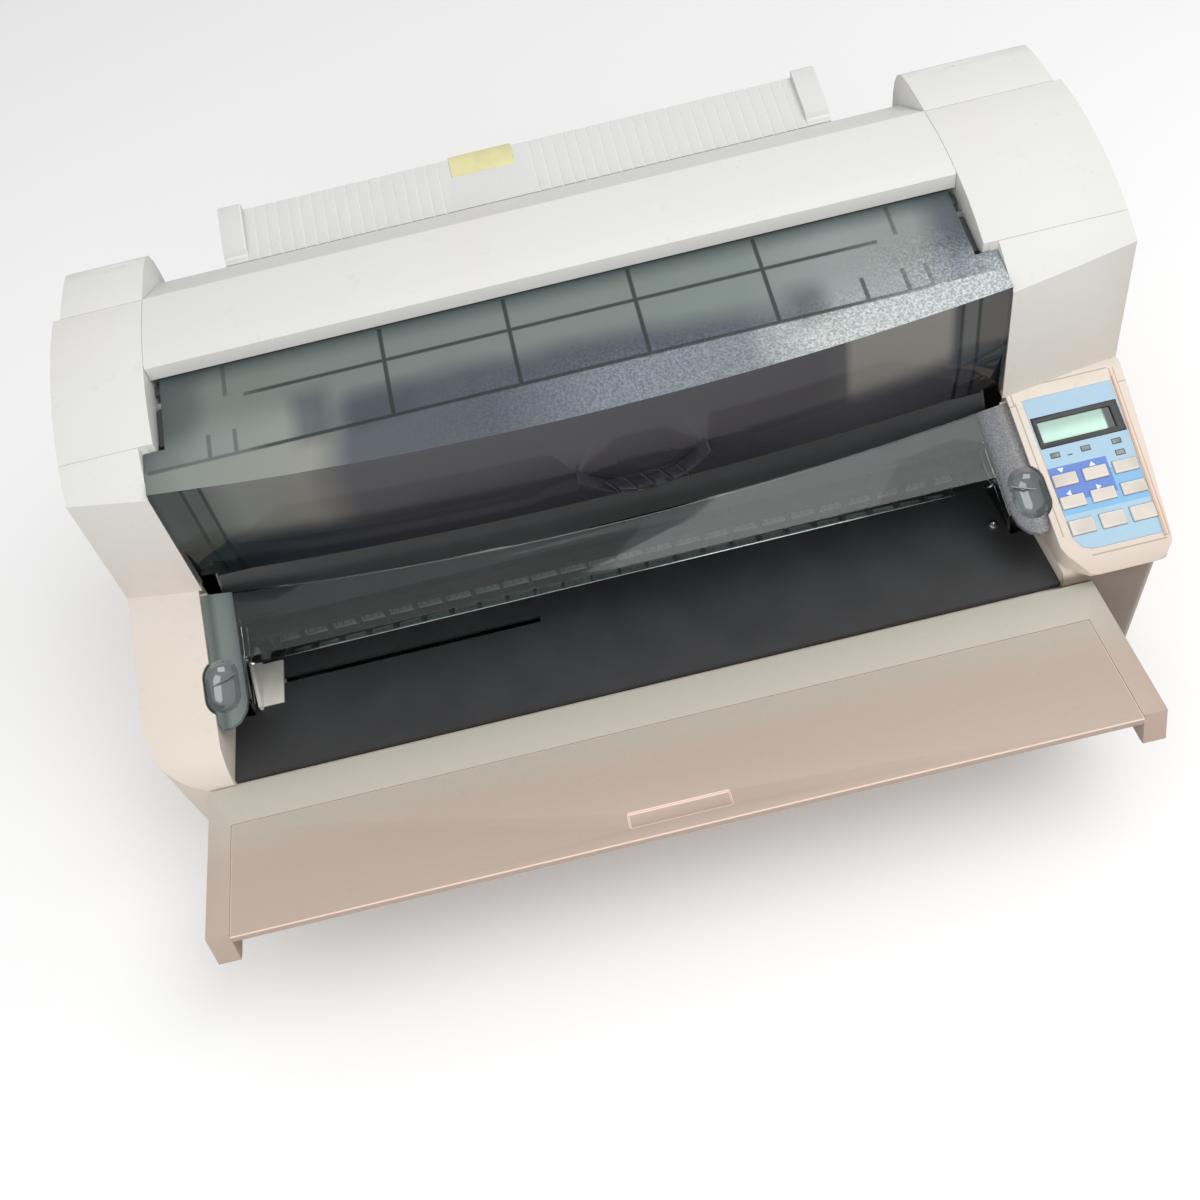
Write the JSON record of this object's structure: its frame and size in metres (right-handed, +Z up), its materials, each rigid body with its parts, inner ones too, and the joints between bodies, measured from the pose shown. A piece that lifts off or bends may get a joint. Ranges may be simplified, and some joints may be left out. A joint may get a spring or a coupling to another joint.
{
  "type": "dot matrix printer",
  "caption": "Wide flat-bed dot matrix printer with a hinged smoked front cover, a front paper table, a key panel and a fold-up rear sheet guide.",
  "frame": {"origin": "middle of the footprint's bounding box, on the desk under the feet", "axes": "+X to the right seen from the front, +Y to the back, +Z up"},
  "size_m": [0.65, 0.4424, 0.278],
  "materials": {
    "case_cream": "fine grained moulded case plastic, slightly yellowed",
    "table_beige": "fine grained moulded plastic, a little browner",
    "white_plastic": "smooth moulded plastic",
    "pale_yellow": "smooth moulded plastic",
    "smoked_plastic": "clear smoked grey plastic, glossy front, fine grained top",
    "dark_plastic": "dark moulded plastic",
    "key_plastic": "satin key caps",
    "label_film": "printed film in three blues with plain arrows",
    "lcd_glass": "pale green display",
    "sheet_steel": "zinc plated sheet",
    "ground_steel": "ground and polished rod",
    "rubber_dark": "smooth rubber",
    "board_green": "printed circuit board",
    "motor_black": "black painted steel",
    "head_alloy": "dark cast alloy with fins",
    "brass_gear": "turned brass",
    "strip_green": "pale green scale strip"
  },
  "bodies": {
    "case": {"lower_case": "case_cream", "upper_case": "case_cream", "side_caps": "case_cream", "centre_cover": "case_cream", "key_housing": "case_cream", "key_label": "label_film", "lcd_bezel": "dark_plastic", "lcd_glass": "lcd_glass", "key_board": "board_green", "feed_plate": "dark_plastic", "paper_comb": "dark_plastic", "scale_strip": "strip_green", "inner_shield": "dark_plastic", "base_plate": "sheet_steel", "side_frame_left": "sheet_steel", "side_frame_right": "sheet_steel", "platen_bar": "dark_plastic", "feed_motor": "motor_black", "carriage_rails": "ground_steel", "belt": "rubber_dark", "carriage_motor": "motor_black", "main_board": "board_green", "power_supply": "sheet_steel", "power_inlet": "dark_plastic", "data_port": "sheet_steel", "feet": "rubber_dark"},
    "front_cover": {"front_cover": "smoked_plastic"},
    "lower_cover": {"lower_cover": "smoked_plastic"},
    "table": {"table": "table_beige"},
    "table_extension": {"table_extension": "table_beige"},
    "edge_guide": {"edge_guide": "white_plastic"},
    "rear_guide": {"rear_guide": "table_beige", "guide_caps": "table_beige", "guide_tab": "pale_yellow"},
    "power_switch": {"power_switch": "dark_plastic"},
    "front_roller": {"front_roller": "rubber_dark"},
    "rear_roller": {"rear_roller": "rubber_dark"},
    "front_pinch": {"front_pinch": "rubber_dark"},
    "rear_pinch": {"rear_pinch": "rubber_dark"},
    "idler_gear": {"idler_gear": "white_plastic"},
    "motor_gear": {"motor_gear": "brass_gear"},
    "carriage": {"carriage": "dark_plastic", "print_head": "head_alloy"},
    "ribbon_cartridge": {"ribbon_cartridge": "dark_plastic"},
    "drive_pulley": {"drive_pulley": "white_plastic"},
    "idler_pulley": {"idler_pulley": "white_plastic"},
    "tractor_shaft": {"tractor_shaft": "ground_steel"},
    "tractor_left": {"tractor_left": "dark_plastic"},
    "tractor_right": {"tractor_right": "dark_plastic"},
    "gate_left": {"gate_left": "dark_plastic"},
    "gate_right": {"gate_right": "dark_plastic"},
    "key_1": {"key_1": "key_plastic"},
    "key_2": {"key_2": "key_plastic"},
    "key_3": {"key_3": "key_plastic"},
    "key_4": {"key_4": "key_plastic"},
    "key_5": {"key_5": "key_plastic"},
    "key_6": {"key_6": "key_plastic"},
    "key_7": {"key_7": "key_plastic"},
    "key_8": {"key_8": "key_plastic"},
    "key_9": {"key_9": "key_plastic"}
  },
  "joints": [
    {"name": "front_cover_hinge", "type": "hinge", "parent": "case", "child": "front_cover", "pos_m": [-0.015, 0.06325, 0.245], "axis": [-1, 0, 0], "range_deg": [0, 72]},
    {"name": "lower_cover_lift", "type": "slide", "parent": "case", "child": "lower_cover", "axis": [0, -0.3746, 0.9272], "range_m": [0, 0.04]},
    {"name": "table_hinge", "type": "hinge", "parent": "case", "child": "table", "pos_m": [-0.014, -0.12475, 0.083], "axis": [1, 0, 0], "range_deg": [0, 45]},
    {"name": "table_extension_slide", "type": "slide", "parent": "table", "child": "table_extension", "axis": [0, -1, 0], "range_m": [0, 0.055]},
    {"name": "edge_guide_slide", "type": "slide", "parent": "case", "child": "edge_guide", "axis": [1, 0, 0], "range_m": [0, 0.15]},
    {"name": "rear_guide_hinge", "type": "hinge", "parent": "case", "child": "rear_guide", "pos_m": [-0.015, 0.18425, 0.249], "axis": [1, 0, 0], "range_deg": [0, 40]},
    {"name": "key_1_press", "type": "slide", "parent": "case", "child": "key_1", "axis": [0, 0.3746, -0.9272], "range_m": [0, 0.0008], "stiffness_N_per_m": 400, "springref_m": -0.0006},
    {"name": "key_2_press", "type": "slide", "parent": "case", "child": "key_2", "axis": [0, 0.3746, -0.9272], "range_m": [0, 0.0008], "stiffness_N_per_m": 400, "springref_m": -0.0006},
    {"name": "key_3_press", "type": "slide", "parent": "case", "child": "key_3", "axis": [0, 0.3746, -0.9272], "range_m": [0, 0.0008], "stiffness_N_per_m": 400, "springref_m": -0.0006},
    {"name": "key_4_press", "type": "slide", "parent": "case", "child": "key_4", "axis": [0, 0.3746, -0.9272], "range_m": [0, 0.0008], "stiffness_N_per_m": 400, "springref_m": -0.0006},
    {"name": "key_5_press", "type": "slide", "parent": "case", "child": "key_5", "axis": [0, 0.3746, -0.9272], "range_m": [0, 0.0008], "stiffness_N_per_m": 400, "springref_m": -0.0006},
    {"name": "key_6_press", "type": "slide", "parent": "case", "child": "key_6", "axis": [0, 0.3746, -0.9272], "range_m": [0, 0.0008], "stiffness_N_per_m": 400, "springref_m": -0.0006},
    {"name": "key_7_press", "type": "slide", "parent": "case", "child": "key_7", "axis": [0, 0.3746, -0.9272], "range_m": [0, 0.0008], "stiffness_N_per_m": 400, "springref_m": -0.0006},
    {"name": "key_8_press", "type": "slide", "parent": "case", "child": "key_8", "axis": [0, 0.3746, -0.9272], "range_m": [0, 0.0008], "stiffness_N_per_m": 400, "springref_m": -0.0006},
    {"name": "key_9_press", "type": "slide", "parent": "case", "child": "key_9", "axis": [0, 0.3746, -0.9272], "range_m": [0, 0.0008], "stiffness_N_per_m": 400, "springref_m": -0.0006},
    {"name": "power_switch_rock", "type": "hinge", "parent": "case", "child": "power_switch", "pos_m": [-0.272, -0.11275, 0.0445], "axis": [1, 0, 0], "range_deg": [0, 12]},
    {"name": "front_roller_spin", "type": "hinge", "parent": "case", "child": "front_roller", "pos_m": [-0.015, 0.01625, 0.082], "axis": [1, 0, 0], "continuous": true},
    {"name": "rear_roller_spin", "type": "hinge", "parent": "case", "child": "rear_roller", "pos_m": [-0.015, 0.07225, 0.082], "axis": [1, 0, 0], "continuous": true},
    {"name": "idler_gear_spin", "type": "hinge", "parent": "case", "child": "idler_gear", "pos_m": [0.242, 0.04425, 0.07123], "axis": [1, 0, 0], "continuous": true},
    {"name": "motor_gear_spin", "type": "hinge", "parent": "case", "child": "motor_gear", "pos_m": [0.242, 0.04425, 0.04923], "axis": [1, 0, 0], "continuous": true},
    {"name": "front_pinch_spin", "type": "hinge", "parent": "case", "child": "front_pinch", "pos_m": [-0.015, 0.01625, 0.0983], "axis": [1, 0, 0], "continuous": true},
    {"name": "rear_pinch_spin", "type": "hinge", "parent": "case", "child": "rear_pinch", "pos_m": [-0.015, 0.07225, 0.0983], "axis": [1, 0, 0], "continuous": true},
    {"name": "carriage_slide", "type": "slide", "parent": "case", "child": "carriage", "axis": [1, 0, 0], "range_m": [-0.174, 0.174]},
    {"name": "ribbon_cartridge_lift", "type": "slide", "parent": "carriage", "child": "ribbon_cartridge", "axis": [0, 0, 1], "range_m": [0, 0.028]},
    {"name": "drive_pulley_spin", "type": "hinge", "parent": "case", "child": "drive_pulley", "pos_m": [0.2115, 0.12625, 0.148], "axis": [0, 0, 1], "range_deg": [-1080, 1080]},
    {"name": "idler_pulley_spin", "type": "hinge", "parent": "case", "child": "idler_pulley", "pos_m": [-0.2495, 0.12625, 0.148], "axis": [0, 0, 1], "range_deg": [-1080, 1080]},
    {"name": "tractor_shaft_spin", "type": "hinge", "parent": "case", "child": "tractor_shaft", "pos_m": [-0.015, 0.14625, 0.078], "axis": [1, 0, 0], "continuous": true},
    {"name": "tractor_left_slide", "type": "slide", "parent": "case", "child": "tractor_left", "axis": [1, 0, 0], "range_m": [0, 0.08]},
    {"name": "tractor_right_slide", "type": "slide", "parent": "case", "child": "tractor_right", "axis": [-1, 0, 0], "range_m": [0, 0.22]},
    {"name": "gate_left_hinge", "type": "hinge", "parent": "tractor_left", "child": "gate_left", "pos_m": [-0.2368, 0.14625, 0.0941], "axis": [0, -1, 0], "range_deg": [0, 75]},
    {"name": "gate_right_hinge", "type": "hinge", "parent": "tractor_right", "child": "gate_right", "pos_m": [0.1282, 0.14625, 0.0941], "axis": [0, -1, 0], "range_deg": [0, 75]}
  ],
  "couplings": [
    {"joint": "rear_roller_spin", "follows": "front_roller_spin", "ratio": 1},
    {"joint": "idler_gear_spin", "follows": "front_roller_spin", "ratio": -1.1429},
    {"joint": "motor_gear_spin", "follows": "front_roller_spin", "ratio": 2},
    {"joint": "front_pinch_spin", "follows": "front_roller_spin", "ratio": -1.5833},
    {"joint": "rear_pinch_spin", "follows": "front_roller_spin", "ratio": -1.5833},
    {"joint": "drive_pulley_spin", "follows": "carriage_slide", "rad_per_m": 105.26},
    {"joint": "idler_pulley_spin", "follows": "carriage_slide", "rad_per_m": 105.26}
  ]
}
